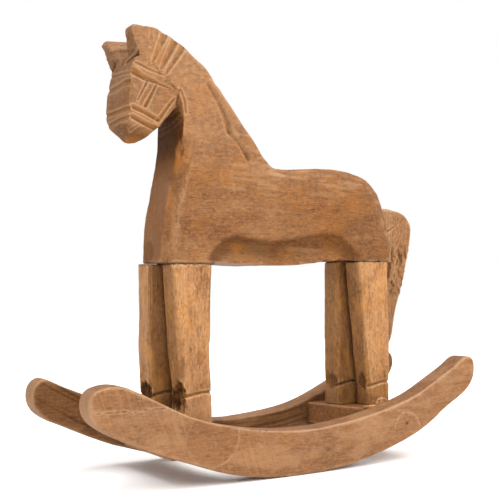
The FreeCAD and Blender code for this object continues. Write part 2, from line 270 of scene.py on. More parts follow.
def wood_materials():
    """Colours are linear."""
    return {
        "body": wood("body_wood", (0.158, 0.060, 0.017), (0.192, 0.082, 0.027), (0.086, 0.028, 0.008),
                     (0.240, 0.086, 0.014), 0, 1.0, pores=0.34, blotch=0.85),
        "leg": wood("leg_wood", (0.290, 0.128, 0.042), (0.335, 0.165, 0.063), (0.145, 0.048, 0.013),
                    (0.420, 0.182, 0.040), 2, 2.0, pores=0.32, blotch=0.9),
        "tail": wood("tail_wood", (0.190, 0.083, 0.029), (0.240, 0.120, 0.052), (0.108, 0.040, 0.013),
                     (0.230, 0.098, 0.026), 2, 3.0, pores=0.4),
        "rocker": wood("rocker_wood", (0.168, 0.072, 0.027), (0.206, 0.096, 0.040), (0.104, 0.039, 0.013),
                       (0.196, 0.080, 0.023), 0, 4.0, pores=0.30, saw=1.0, roughness=0.6, blotch=0.35,
                       grit=0.5),
        "bar": wood("crossbar_wood", (0.190, 0.073, 0.022), (0.235, 0.100, 0.035), (0.105, 0.037, 0.011),
                    (0.250, 0.098, 0.022), 1, 5.0, pores=0.4, saw=0.5, roughness=0.6),
        "dowel": wood("dowel_wood", (0.52, 0.36, 0.20), (0.60, 0.44, 0.27), (0.42, 0.27, 0.14),
                      (0.55, 0.38, 0.20), 2, 6.0),
    }


def plain_material(name, colour, light, scale, roughness, metallic=0.0, bump=0.3):
    """Glue or steel: one hue, clouded by noise."""
    g = Graph(name)
    cloud = g.noise(g.mapped((scale, scale, scale)), 4, 0.6, 0.5)
    g.link(g.mix(g.ramp(cloud, 0.4, 0.65), colour, light), g.shader.inputs["Base Color"])
    g.link(g.ramp(cloud, 0.3, 0.7, roughness, roughness + 0.15), g.shader.inputs["Roughness"])
    g.shader.inputs["Metallic"].default_value = metallic
    g.bump(cloud, bump, 0.0003)
    return g.material


# ---------------------------------------------------------------- carving tools

XZ, YZ = [0, 2], [1, 2]
MASKS = ("stain_and_shade", "fresh", "burn_and_shade", "wear_and_sheen", "pale_and_highlight", "sawn")


def smoothstep(low, high, value):
    t = np.clip((value - low) / (high - low), 0, 1)
    return t * t * (3 - 2 * t)


def unit(vector):
    vector = np.array(vector, float)
    return vector / np.linalg.norm(vector)


def line_distance(points, line):
    """Distance to a polyline in a plane, which side of it each point is on, and how far along it is."""
    best = np.full(len(points), 1e9)
    side, along = np.zeros(len(points)), np.zeros(len(points))
    line = np.array(line, float)
    lengths = np.hypot(*np.diff(line, axis=0).T)
    for i, (a, b) in enumerate(zip(line, line[1:])):
        ab = b - a
        t = np.clip(((points - a) @ ab) / (ab @ ab), 0, 1)
        gap = points - (a + t[:, None] * ab)
        distance = np.hypot(gap[:, 0], gap[:, 1])
        closer = distance < best
        best[closer] = distance[closer]
        side[closer] = np.sign(ab[0] * gap[closer, 1] - ab[1] * gap[closer, 0])
        along[closer] = (lengths[:i].sum() + t[closer] * lengths[i]) / lengths.sum()
    return best, side, along


class Carving:
    """Copy of a CAD node as an even, dense mesh whose vertices can be cut, worn and stained, and given painted
    shade and painted highlights.

    Lengths here are in millimetres.  The materials read the masks."""

    def __init__(self, node, voxel, holes=(), relax=3):
        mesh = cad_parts[node].data.copy()
        close_holes(mesh, holes)
        work = bpy.data.objects.new("work", mesh)
        bpy.context.scene.collection.objects.link(work)
        remesh = work.modifiers.new("remesh", "REMESH")
        remesh.mode = "VOXEL"
        remesh.voxel_size = voxel * MM
        ready = work.evaluated_get(bpy.context.evaluated_depsgraph_get())
        self.mesh = bpy.data.meshes.new_from_object(ready)
        bpy.data.objects.remove(work)
        self.mesh.materials.clear()
        self.node = node
        self.read()
        self.relax(relax)

    def vectors(self, attribute):
        """One vector for each vertex of the mesh."""
        flat = np.zeros(len(self.mesh.vertices) * 3, np.float32)
        self.mesh.vertices.foreach_get(attribute, flat)
        return flat.reshape(-1, 3).astype(float)

    def read(self):
        """Takes the vertices and edges from the mesh, and starts the masks again."""
        self.co = self.vectors("co") / MM
        self.normal = self.vectors("normal")
        ends = np.zeros(len(self.mesh.edges) * 2, np.int32)
        self.mesh.edges.foreach_get("vertices", ends)
        self.edges = ends.reshape(-1, 2)
        self.masks = {key: np.zeros(len(self.co)) for key in MASKS}

    def write(self):
        self.mesh.vertices.foreach_set("co", (self.co * MM).astype(np.float32).ravel())
        self.mesh.update()

    def gather(self, at_first, at_second):
        """Mean at each vertex of what its edges bring to their first and second ends."""
        a, b = self.edges.T
        count = len(self.co)
        total = np.bincount(a, at_first, count) + np.bincount(b, at_second, count)
        return total / np.maximum(np.bincount(a, minlength=count) + np.bincount(b, minlength=count), 1)

    def around(self, values):
        """Mean of the neighbours' values."""
        a, b = self.edges.T
        return self.gather(values[b], values[a])

    def relax(self, rounds):
        """Smooths without shrinking, by one step in and one step out."""
        for _ in range(rounds):
            for step in (0.5, -0.52):
                mean = np.stack([self.around(self.co[:, k]) for k in range(3)], 1)
                self.co += (mean - self.co) * step
        self.refresh_normals()

    def refresh_normals(self):
        self.write()
        self.normal = self.vectors("normal")

    def refine(self, wanted):
        """Halves the edges whose two ends are wanted, so that fine cuts have vertices to move."""
        self.write()
        bm = bmesh.new()
        bm.from_mesh(self.mesh)
        bm.verts.ensure_lookup_table()
        edges = [e for e in bm.edges if wanted[e.verts[0].index] and wanted[e.verts[1].index]]
        bmesh.ops.subdivide_edges(bm, edges=edges, cuts=1, use_grid_fill=True)
        bm.to_mesh(self.mesh)
        bm.free()
        self.read()

    def field(self, size, seed=0):
        """Cloudy noise over the piece; size is its grain along each axis."""
        scale = 1 / np.array(size, float)
        return np.array([noise.fractal(Vector(p), 0.7, 2.1, 4) for p in self.co * scale + seed * 3.7])

    def ripple(self, size, seed=0.0):
        """Plain noise; size is its grain along each axis."""
        shift = Vector((0, 0, seed))
        return np.array([noise.noise(Vector(p) + shift) for p in self.co / np.array(size, float)])

    def facing(self, direction, low=0.25, high=0.6):
        """1 where the surface faces the direction, falling to 0."""
        return smoothstep(low, high, self.normal @ unit(direction))

    def mark(self, mask, values):
        """Raises a mask to the values, where they are higher."""
        self.masks[mask] = np.maximum(self.masks[mask], values)

    def groove(self, axes, facing, line, width, depth, lean=0.0, taper=(1.0, 1.0), stain_and_shade=0.55, fresh=0.0,
               burn_and_shade=0.0, light=0.55):
        """Knife cut along a line drawn in the plane of two axes.

        lean widens one wall of the V, and taper scales the width at the line's two ends.  stain and burn
        darken the bottom of the cut, partly as stain and char and partly as painted shade in the recess; fresh
        colours its wide wall, and light its rims."""
        distance, side, along = line_distance(self.co[:, axes], line)
        scale = np.interp(along, [0, 1], taper)
        half = width / 2 * scale * (1 + lean * side)
        near = self.facing(facing)
        shape = np.clip(1 - distance / half, 0, 1) * near
        self.co -= unit(facing) * (shape * depth * np.sqrt(scale))[:, None]
        # The bottom of the cut is darkened: partly stain and char, partly painted shade in the recess.
        self.mark("stain_and_shade", np.clip(shape * 1.6 - 0.6, 0, 1) * stain_and_shade)
        rim = np.exp(-((distance - half) / 0.5) ** 2) * near
        self.mark("wear_and_sheen", rim * np.sqrt(scale) * light)
        self.mark("burn_and_shade", np.clip(shape * 2 - 0.3, 0, 1) * burn_and_shade)
        wall = np.clip(shape * 3, 0, 1) * (side * np.sign(lean or 1) > 0)
        self.mark("fresh", wall * fresh * (1 - np.clip(shape * 1.6 - 0.7, 0, 1)))

    def facets(self, size, strength, limit, seed, stretch=(1, 1, 1), region=1.0):
        """Flattens the surface towards many small planes that touch it, as knife strokes leave them."""
        rng = np.random.default_rng(seed)
        scale = np.array(stretch, float) / size
        cells = {}
        jitter = rng.random(3)
        for index, cell in enumerate(map(tuple, np.floor(self.co * scale + jitter).astype(int))):
            cells.setdefault(cell, []).append(index)
        seeds = np.array([members[rng.integers(len(members))] for members in cells.values()])
        soft = self.normal.copy()
        for _ in range(4):
            soft = np.stack([self.around(soft[:, k]) for k in range(3)], 1)
        soft /= np.linalg.norm(soft, axis=1)[:, None]
        tree = kdtree.KDTree(len(seeds))
        for i, s in enumerate(seeds):
            tree.insert(self.co[s] * scale, i)
        tree.balance()
        nearest = seeds[[tree.find(p)[1] for p in self.co * scale]]
        offset = np.einsum("ij,ij->i", self.co - self.co[nearest], soft[nearest])
        agree = smoothstep(0.55, 0.85, np.einsum("ij,ij->i", soft, soft[nearest]))
        move = np.clip(-offset * strength, -limit, limit * 0.4) * agree * region
        self.co += soft[nearest] * move[:, None]

    def wobble(self, size, amount, seed, region=1.0):
        """Slow unevenness of hand work."""
        shift = Vector((seed * 13.1, seed * 7.7, seed * 3.3))
        values = np.array([noise.noise(Vector(p) / size + shift) for p in self.co])
        self.co += self.normal * (values * amount * region)[:, None]

    def blot(self, mask, centre, radius, strength, axes=(0, 1, 2), soft=0.5, region=1.0):
        """Marks a soft-edged spot."""
        gap = (self.co[:, list(axes)] - np.array(centre, float)) / np.array(radius, float)
        distance = np.linalg.norm(gap, axis=1)
        self.mark(mask, smoothstep(1 + soft, 1 - soft, distance) * strength * region)

    def edge_wear_and_corner_shade(self):
        """Wear on the edges that stick out, and painted shade in the corners that go in."""
        self.refresh_normals()
        a, b = self.edges.T
        step = self.co[b] - self.co[a]
        step /= np.maximum(np.linalg.norm(step, axis=1), 1e-6)[:, None]
        bend = np.einsum("ij,ij->i", self.normal[b] - self.normal[a], step)
        curve = self.gather(bend, bend)
        for _ in range(2):
            curve = self.around(curve)
        patchy = self.ripple((5, 5, 5))
        self.mark("wear_and_sheen", smoothstep(0.07, 0.24, curve + patchy * 0.06) * 0.75)
        # Painted shade in the hollows and the inner corners.
        self.mark("stain_and_shade", smoothstep(0.05, 0.25, -curve) * 0.7)

    def finish(self, name, material, also=()):
        """Hangs the finished piece on the frame in place of its node, and of any other nodes it covers."""
        self.edge_wear_and_corner_shade()
        for key, values in self.masks.items():
            layer = self.mesh.attributes.new(key, "FLOAT", "POINT")
            layer.data.foreach_set("value", np.clip(values, 0, 1).astype(np.float32))
        self.mesh.materials.append(material)
        self.mesh.shade_smooth()
        piece = bpy.data.objects.new(name, self.mesh)
        bpy.context.scene.collection.objects.link(piece)
        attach(piece, "root")
        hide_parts(self.node, *also)
        return piece


def close_holes(mesh, holes):
    """Fills round holes whose axes run along Y: (x, z, radius) in metres."""
    bm = bmesh.new()
    bm.from_mesh(mesh)
    bmesh.ops.remove_doubles(bm, verts=bm.verts, dist=1e-6)
    for x, z, radius in holes:
        wall = [f for f in bm.faces if all(math.hypot(v.co.x - x, v.co.z - z) < radius for v in f.verts)]
        bmesh.ops.delete(bm, geom=wall, context="FACES")
    if holes:
        bmesh.ops.holes_fill(bm, edges=bm.edges, sides=0)
    bm.to_mesh(mesh)
    bm.free()


# ---------------------------------------------------------------- body

# Knife cuts on each side of the head: (x, z) line, width, depth, lean, taper, fresh.
SIDE_CUTS = [
    ([(87.6, 216.4), (80.2, 213.8), (71.6, 211.6)], 2.6, 0.8, 0.4, (1.0, 0.5), 0.3),      # cheek strap
    ([(89.4, 210.4), (83.6, 208.2), (76.6, 206.8), (67.7, 204.7)], 4.6, 1.6, -0.4, (1.1, 0.2), 0.7),
    ([(88.6, 192.7), (81.9, 190.6), (74.2, 187.6)], 3.2, 1.2, -0.4, (1.0, 0.9), 0.6),     # noseband
    ([(88.9, 187.8), (81.3, 185.0), (73.4, 182.8)], 3.4, 1.2, -0.4, (0.9, 1.0), 0.6),
    ([(81.4, 207.0), (86.3, 197.0)], 2.0, 1.1, 0.0, (1.0, 0.7), 0.2),                     # eye
    ([(75.9, 205.9), (81.3, 194.2)], 2.8, 1.3, 0.3, (0.6, 1.1), 0.6),
    ([(65.0, 199.6), (68.9, 194.2), (73.0, 187.6)], 3.2, 0.9, 0.4, (0.6, 1.0), 0.5),      # edge of the jaw
    ([(70.4, 233.0), (74.4, 225.0), (78.0, 218.2)], 5.2, 0.7, 0.5, (1.1, 0.5), 0.4),     # mane
    ([(64.0, 230.6), (69.0, 222.0), (73.0, 214.6)], 5.8, 1.1, 0.5, (1.0, 0.5), 0.5),
    ([(59.4, 228.2), (65.6, 219.2), (70.6, 212.2)], 5.0, 0.8, 0.5, (1.0, 0.5), 0.2),
    ([(62.2, 205.0), (59.6, 199.0), (59.0, 193.0)], 3.4, 0.7, 0.4, (0.7, 0.7), 0.2),      # below the jaw
    ([(88.2, 181.8), (84.8, 184.6)], 2.0, 0.9, 0.0, (1.0, 0.6), 0.2),                     # corner of the mouth
]
# Cuts across the front of the face: (y, z) line, width, depth, lean, fresh, burn.  The charcoal in the deep
# slits at the roots of the ears is painted shade.
FACE_CUTS = [
    ([(-13.0, 212.6), (0.0, 211.6), (13.0, 210.2)], 2.4, 0.45, 0.3, 0.3, 0.0),            # browband
    ([(-13.0, 205.0), (0.0, 205.4), (15.0, 206.8)], 4.2, 0.7, -0.4, 0.6, 0.0),
    ([(-11.0, 191.0), (0.0, 191.8), (12.0, 193.0)], 3.4, 0.55, -0.4, 0.5, 0.0),           # noseband
    ([(-10.0, 185.2), (0.0, 186.6), (11.0, 188.6)], 3.4, 0.6, -0.4, 0.5, 0.0),
    ([(4.2, 218.2), (8.6, 219.8), (13.9, 221.8)], 3.6, 3.0, 0.0, 0.0, 1.0),               # roots of the ears
    ([(-13.9, 215.5), (-10.5, 217.6), (-7.0, 219.8)], 3.6, 3.0, 0.0, 0.0, 1.0),
]
# Scallops cut out of the crest where the neck meets the back: (x, z) line, width, depth.
SCALLOPS = [
    ([(45, 210), (38.2, 201.0), (33.4, 192), (31.2, 186)], 6.0, 1.9),
    ([(33.1, 186), (26.4, 180.4), (19.4, 172.6)], 5.0, 1.8),
    ([(24.0, 178.0), (19.5, 170.5), (18.6, 165.5)], 4.0, 1.2),
]
SCALLOP_FACET = [(30.5, 187), (26.5, 181.5), (21.5, 175)]
# (x, z) lines on the sides: where the rounding of the back starts, and the top of the belly's hollow.
BACK_BAND = [(-80, 128), (-75.5, 141), (-70.5, 153), (-64, 160.4), (-52, 163.4), (-37, 164.2), (-22, 163.4),
             (-8, 162.4), (1, 161), (9, 166)]
BELLY_LINE = [(-63, 117.5), (-57, 121), (-50, 127), (-44, 130.5), (-34, 131.6), (-22, 130.2), (-11, 127.6),
              (5, 125.2), (17.5, 126.8), (27.6, 128), (36, 126), (43.7, 118.5), (47, 113)]
# Rear edge of the bevels on the neck and chest, and the profile of their front, from the top down.
CHEST_BEVEL = [(54.0, 172), (57.4, 162), (61.2, 151), (63.2, 138), (64.4, 127), (66.0, 113)]
CHEST_FRONT = [(62.8, 180), (64, 167), (67.2, 151), (70.5, 130), (72, 112)]
CHEST_DROP = {1: 4.6, -1: 2.2}    # depth of the bevel at the front, on the left and on the right
BACK_SLANT = (0.88, 0.48)         # sideways and outward parts of the back bevel's direction


def bevel_chest(work, side):
    """Broad knife bevel down the front corners of the neck and chest."""
    z = work.co[:, 2]
    edge, front = (np.interp(z, *np.array(line[::-1], float).T[::-1]) for line in (CHEST_BEVEL, CHEST_FRONT))
    run = np.maximum(front - edge, 4.0)
    drop = CHEST_DROP[side]
    normal = np.stack([drop / np.hypot(drop, run), side * run / np.hypot(drop, run), 0 * z], 1)
    excess = ((work.co[:, 0] - edge) * normal[:, 0]
              + (work.co[:, 1] * side - BODY_SIDE_Y) * normal[:, 1] * side)
    region = smoothstep(182, 172, z) * (work.co[:, 0] > 45)
    excess = np.clip(excess, 0, 4) * region
    work.co -= normal * excess[:, None]
    patchy = work.ripple((9, 9, 16))
    work.mark("fresh", smoothstep(0.1, 1.6, excess) * smoothstep(-0.25, 0.5, patchy) * smoothstep(114, 150, z))
    # Painted highlight along the ridge at the bevel's rear edge.
    ridge = np.exp(-((work.co[:, 0] - edge - 2.2) / 1.3) ** 2) * (excess > 0) * smoothstep(118, 132, z)
    work.mark("pale_and_highlight", ridge * smoothstep(-0.5, 0.3, patchy) * 0.9)


def bevel_back(work, side):
    """Rounded upper edge of the back, carried on down the rump."""
    x, y, z = work.co.T
    line = np.array(BACK_BAND, float)
    distance, where, along = line_distance(work.co[:, XZ], line)
    steps = np.hypot(*np.diff(line, axis=0).T)
    across = np.array([-np.diff(line[:, 1]), np.diff(line[:, 0])]) / steps
    middle = (np.cumsum(steps) - steps / 2) / steps.sum()
    out = np.stack([np.interp(along, middle, across[k]) for k in (0, 1)])
    out /= np.hypot(*out)
    sideways, outward = BACK_SLANT
    excess = (y * side - BODY_SIDE_Y) * sideways + distance * where * outward
    region = smoothstep(122, 134, z) * smoothstep(12, 0, x) * (z > 110) * (x < 14)
    excess = np.clip(excess, 0, 3) * region
    direction = np.stack([out[0] * outward, np.full(len(x), side * sideways), out[1] * outward], 1)
    work.co -= excess[:, None] * direction
    # Wear, and a painted sheen, on the bevel band.
    patchy = work.ripple((14, math.inf, 5))
    work.mark("wear_and_sheen", smoothstep(0.2, 1.3, excess) * smoothstep(0.0, 0.4, patchy) * 0.55)


def carve_belly(work, side):
    """Hollow bevel below a wavy line between the legs, darker there."""
    x, y, z = work.co.T
    line_x, line_z = np.array(BELLY_LINE, float).T
    top = np.interp(x, line_x, line_z)
    below = top - z
    near = work.facing((0, side, -0.2)) * smoothstep(-64, -58, x) * smoothstep(48, 42, x)
    work.co[:, 1] -= side * smoothstep(0, 1.8, below) * 1.1 * near * smoothstep(-60, -46, x)
    work.mark("stain_and_shade", smoothstep(-2.0, 1.2, below) * smoothstep(17, 5, below) * 0.72 * near)


def shape_body(work):
    """Bevels, knife facets and slow unevenness."""
    for side in SIDES.values():
        bevel_chest(work, side)
        bevel_back(work, side)
        carve_belly(work, side)
    work.refresh_normals()
    head = smoothstep(172, 184, work.co[:, 2]) * smoothstep(54, 62, work.co[:, 0])
    work.facets(9.0, 0.75, 0.9, 11, region=head)
    work.facets(16.0, 0.5, 0.5, 12, region=1 - head)
    work.wobble(22, 0.7, 1, 1 - head)
    work.wobble(7, 0.22, 2)
    work.refresh_normals()


def cut_body(work):
    """Bridle, eyes, mouth, mane and crest, as knife cuts."""
    for side in SIDES.values():
        for line, width, depth, lean, taper, fresh in SIDE_CUTS:
            work.groove(XZ, (0, side, 0), line, width, depth, lean, taper, fresh=fresh, light=0.95)
        for line, width, depth in SCALLOPS:
            work.groove(XZ, (0, side, 0.3), line, width, depth, 0.35, (0.5, 0.9), stain_and_shade=0.35, fresh=0.3)
        # Painted highlight on the long facet below the scallops.
        facet, _, _ = line_distance(work.co[:, XZ], SCALLOP_FACET)
        work.mark("wear_and_sheen", smoothstep(1.8, 0.6, facet) * work.facing((0, side, 0)) * 0.5)
    for line, width, depth, lean, fresh, burn_and_shade in FACE_CUTS:
        work.groove(YZ, (1, 0, 0), line, width, depth, lean, fresh=fresh, burn_and_shade=burn_and_shade, light=0.8)
    # The right ear is a little lower.
    x, y, z = work.co.T
    work.co[:, 2] -= 1.4 * smoothstep(226, 231, z) * (y < -3) * (x > 78)
    # Notch in the crest behind the ears.
    work.groove(XZ, (0, 0.3, 1), [(36, 209), (40.5, 211.5)], 5.0, 0.9, 0.3, stain_and_shade=0.2)


def weather_body(work):
    """Pale, ochre and dark clouds, worn lights, painted sheens and highlights, painted shade on the sloping
    back, the face and the throat, and the dirt of the joints.
    """
    x, y, z = work.co.T
    cloud = work.field((34, 20, 22), 3)
    chips = work.field((2.6, 2.6, 1.8), 5)
    up = smoothstep(140, 215, z + cloud * 30)
    work.mark("pale_and_highlight", np.clip(up * 0.36 + up * smoothstep(0.0, 0.5, chips) * 0.42, 0, 1))
    work.mark("pale_and_highlight", smoothstep(0.15, 0.5, cloud) * 0.22)
    work.mark("fresh", smoothstep(0.1, 0.7, -cloud) * 0.35 * smoothstep(178, 150, z) * (x < 76))
    strokes = work.field((1.2, 3, 5), 9)
    crest = smoothstep(214, 219, z) * smoothstep(66, 70, x) * smoothstep(84, 80, x)
    work.mark("wear_and_sheen", crest * smoothstep(0.1, 0.6, strokes) * 0.8)
    rump = smoothstep(10, -60, x + cloud * 25)
    dark = rump * 0.20 + smoothstep(0.0, 0.7, work.field((26, 20, 9), 8)) * 0.22
    work.mark("stain_and_shade", dark * smoothstep(200, 150, z))
    rubbed = work.field((30, 8, 3), 13)
    ridge, _, _ = line_distance(work.co[:, XZ], CHEST_BEVEL)
    for side in SIDES.values():
        # Painted sheen along the upper slope of the back.
        sheen = work.facing((0, 0.8 * side, 1), 0.4, 0.8) * smoothstep(148, 154, z) * smoothstep(38, 28, x)
        work.mark("wear_and_sheen", sheen * smoothstep(-0.05, 0.4, rubbed) * 0.6)
        # Painted highlight along the chest ridge.
        lit = work.facing((0.3, side, 0), 0.3, 0.6) * smoothstep(112, 124, z) * smoothstep(170, 155, z)
        work.mark("wear_and_sheen", smoothstep(2.4, 0.5, ridge) * lit * smoothstep(-0.3, 0.3, strokes) * 0.5)
    # Painted shade on faces that slope up towards the rear: less pale and darker.
    slope = work.facing((-0.6, 0, 1), 0.35, 0.8)
    work.masks["pale_and_highlight"] *= 1 - 0.7 * slope
    work.mark("stain_and_shade", slope * 0.14)
    # Painted shade on the front of the face.
    face = work.facing((1, 0, 0.2), 0.35, 0.7) * (x > 78)
    work.mark("stain_and_shade", face * 0.22)
    # Painted sheen on the lower front of the muzzle.
    muzzle = work.facing((0.6, 0, -0.5), 0.4, 0.8) * smoothstep(190, 184, z) * (x > 84)
    work.mark("wear_and_sheen", muzzle * smoothstep(0.1, 0.55, strokes) * 0.6)
    shade_and_stain_underside(work)


def shade_and_stain_underside(work):
    """Painted shade on the throat, the chin and the front of the chest, a painted shadow under the jaw, the
    dirty seams over the legs, and single spots.
    """
    x, y, z = work.co.T
    # Painted shade under the head on the throat, and under the chin.
    throat = work.facing((1, 0, 0), 0.3, 0.8) * smoothstep(146, 172, z) * smoothstep(212, 195, z) * (x < 72)
    chin = work.facing((0.3, 0, -1), 0.3, 0.8) * smoothstep(172, 178, z)
    work.mark("stain_and_shade", throat * 0.85)
    work.mark("stain_and_shade", chin * 0.5)
    # Painted shadow under the jaw.
    work.blot("burn_and_shade", (64, 182), (6, 12), 0.7, (0, 2), 0.6, work.facing((1, 0, 0)))
    # Painted shade on the faces turned to the front, with a little fresh ochre; these shaded places and the
    # throat lose their pale.
    front_face = work.facing((1, 0, 0), 0.6, 0.9) * (x < 76) * smoothstep(175, 165, z)
    work.mark("stain_and_shade", front_face * 0.2)
    work.mark("fresh", front_face * 0.3)
    work.masks["pale_and_highlight"] *= 1 - np.clip(throat + front_face, 0, 1)
    seam = np.abs(z - np.where(x > 0, SEAT_Z["front"], SEAT_Z["rear"]))
    seat = smoothstep(1.4, 0.3, seam) * ((x > SEAT_X["front"]) | (x < SEAT_X["rear"]))
    work.mark("burn_and_shade", seat * 0.75)
    work.blot("stain_and_shade", (72, -6, 119), (3, 8, 6), 0.6, soft=0.2)
    for side in SIDES.values():
        work.blot("wear_and_sheen", (43.0, 14.0 * side, 113.2), (3.0, 3, 0.8), 0.9, soft=0.4)
        work.blot("pale_and_highlight", (-18, 14.4 * side, 121.5), (13, 3, 1.3), 0.8, soft=0.5)
        work.blot("fresh", (27, 14.4 * side, 121.5), (4, 3, 3), 0.5, soft=0.7)
        work.blot("pale_and_highlight", (-46, 14.4 * side, 155), (4.5, 3, 1.2), 0.7, soft=0.5)
        work.blot("fresh", (74.5, 13.2 * side, 221.5), (2.4, 2, 3.4), 0.6, soft=0.6)
    work.blot("burn_and_shade", (-73.5, 14, 158.5), (0.8, 3, 0.8), 0.9, soft=0.3)


def carve_body(material):
    """Trunk, neck and head; the head has a finer mesh for its cuts."""
    work = Carving("body", 0.95)
    x, y, z = work.co.T
    work.refine((z > 172) & (x > 56))
    shape_body(work)
    cut_body(work)
    weather_body(work)
    return work.finish("body_carved", material)


# ---------------------------------------------------------------- legs and tail

def cut_ankle(work, s, low, high, back, front, ankle):
    """Cut round the ankle, with its upper wall leaning in."""
    middle = (back + front) / 2
    # The groove on the inner face, in the gap between the legs, gets heavy charcoal as painted shade; the one
    # on the outer face a little char.
    for face in (1, -1):
        line = [(front + 1, ankle - 1.6), (front - 4, ankle - 0.4), (middle - 2, ankle + 1.0),
                (back - 1, ankle + 1.2)]
        work.groove(XZ, (0, face, 0), line, 3.0, 1.4, -0.35, (0.9, 0.7), stain_and_shade=0.95, fresh=0.3,
                    burn_and_shade=0.9 if face != s else 0.15)
    work.groove(YZ, (-1, 0, 0), [(low[1], ankle + 1.2), (high[1], ankle + 1.0)], 2.4, 0.9, -0.3, stain_and_shade=0.8)


def char_hoof(work, end, seed, centre):
    """Ragged notch in the front of the hoof: charred on the front legs, smaller and brown on the rear ones."""
    at_front = end == "front"
    size = 1.0 if at_front else 0.72
    rough = (work.ripple((1 / 0.3, 1 / 0.3, 1 / 0.16), seed)
             + 0.6 * work.ripple((1 / 1.3, 1 / 1.3, 1 / 0.5), seed))
    gap = (work.co - centre) / (np.array([4.8, 9.5, 8.4]) * size)
    notch = np.clip(1 - np.linalg.norm(gap, axis=1) + rough * 0.4, 0, 1) * work.facing((1, 0.5, 0), 0.1, 0.5)
    work.co[:, 0] -= np.minimum(notch, 0.6) * (2.2 + rough * 2.4) * size
    work.mark("burn_and_shade", smoothstep(0.02, 0.5, notch) * (0.95 if at_front else 0.3))
    work.mark("stain_and_shade", smoothstep(0.0, 0.3, notch) * (0.95 if at_front else 0.75))


def weather_leg(work, end, s, seed, low, high, front):
    """Dirt at both ends, painted shade on the inner faces in the gap between the legs, and pale, ochre and
    dark clouds.
    """
    x, y, z = work.co.T
    work.mark("stain_and_shade", smoothstep(3.0, 0.2, z - low[2]) * 0.7)
    work.mark("burn_and_shade", smoothstep(1.6, 0.5, high[2] - z) * 0.8)
    work.mark("stain_and_shade", work.facing((0, 0, 1), 0.6, 0.9))
    cloud = work.field((9, 9, 26), seed)
    chips = work.field((2.2, 2.2, 6), seed)
    work.mark("pale_and_highlight", smoothstep(0.05, 0.4, cloud) * 0.3 + smoothstep(0.15, 0.5, chips) * 0.4)
    if end == "front":
        ankle = ANKLE_Z[end]
        work.mark("pale_and_highlight", smoothstep(ankle, ankle - 3, z) * work.facing((0, s, 0)) * 0.5)
    work.mark("fresh", smoothstep(0.0, 0.7, -work.field((8, 8, 18), seed + 2)) * 0.4)
    work.mark("stain_and_shade", smoothstep(0.05, 0.9, -cloud) * 0.5)
    front_edge = np.interp(z, [42, 112], [front, front + 6])
    work.mark("stain_and_shade", smoothstep(-1.6, 0.2, x - front_edge) * 0.3)
    # Painted shade on the inner face, in the gap between the legs.
    work.mark("stain_and_shade", work.facing((0, -s, 0), 0.5, 0.9) * 0.7)


def carve_leg(end, side, material):
    """Post with long knife facets."""
    s = SIDES[side]
    name = f"leg_{end}_{side}"
    ankle = ANKLE_Z[end]
    work = Carving(name, 0.62)
    low, high = (np.array(corner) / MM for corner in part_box(name))
    seed = 20 + 2 * ENDS.index(end) + (s > 0)
    work.facets(6.5, 0.85, 0.8, seed, stretch=(1, 1, 0.16))
    work.wobble(16, 0.45, seed)
    work.wobble(5, 0.12, seed + 5)
    work.refresh_normals()
    foot = np.abs(work.co[:, 2] - ankle) < 3
    back, front = work.co[foot, 0].min(), work.co[foot, 0].max()
    cut_ankle(work, s, low, high, back, front, ankle)
    notch_z = ankle - 0.8 if end == "front" else ankle + 1.6
    char_hoof(work, end, seed, np.array([front + 0.4, (low[1] + high[1]) / 2 + 1.0, notch_z]))
    # Painted shade on the front of the far rear leg.
    if name == "leg_rear_right":
        work.mark("stain_and_shade", work.facing((1, 0, 0)) * 0.45)
    if name == "leg_front_right":
        work.co[:, 0] -= work.facing((1, 0, 0)) * 0.7
    weather_leg(work, end, s, seed, low, high, front)
    return work.finish(name + "_carved", material)


def carve_tail(material):
    """Stepped cut near the top, and a band of rough gouge marks below it."""
    work = Carving("tail", 0.62)
    work.facets(8.0, 0.7, 0.7, 40, stretch=(1, 1, 0.4))
    x, y, z = work.co.T
    rough_zone = smoothstep(130, 122, z) * smoothstep(92, 100, z)
    work.wobble(2.2, 0.55, 41, rough_zone)
    work.wobble(18, 0.5, 42)
    work.refresh_normals()
    for face in (1, -1):
        work.groove(XZ, (0, face, 0), [(-84.5, 133.4), (-90, 135.8), (-97, 139.6)], 3.0, 1.2, 0.4, (1.0, 0.3),
                    stain_and_shade=0.7, fresh=0.5)
    gouges = work.ripple((1.6, 1.6, 5))
    work.mark("stain_and_shade", rough_zone * smoothstep(0.0, 0.35, gouges) * 0.9)
    return work.finish("tail_carved", material)


# ---------------------------------------------------------------- rockers, crossbars, glue and fixings

# Small knife pricks near the outer edge of a rocker's top: x, and how far in from the outer face.
TOP_PRICKS = [(-86, 2.2), (-93, 2.6), (-95, 1.6), (-103, 2.0), (-109, 1.4), (35, 0.9), (32.5, 1.3), (30, 0.8),
              (26, 1.2)]


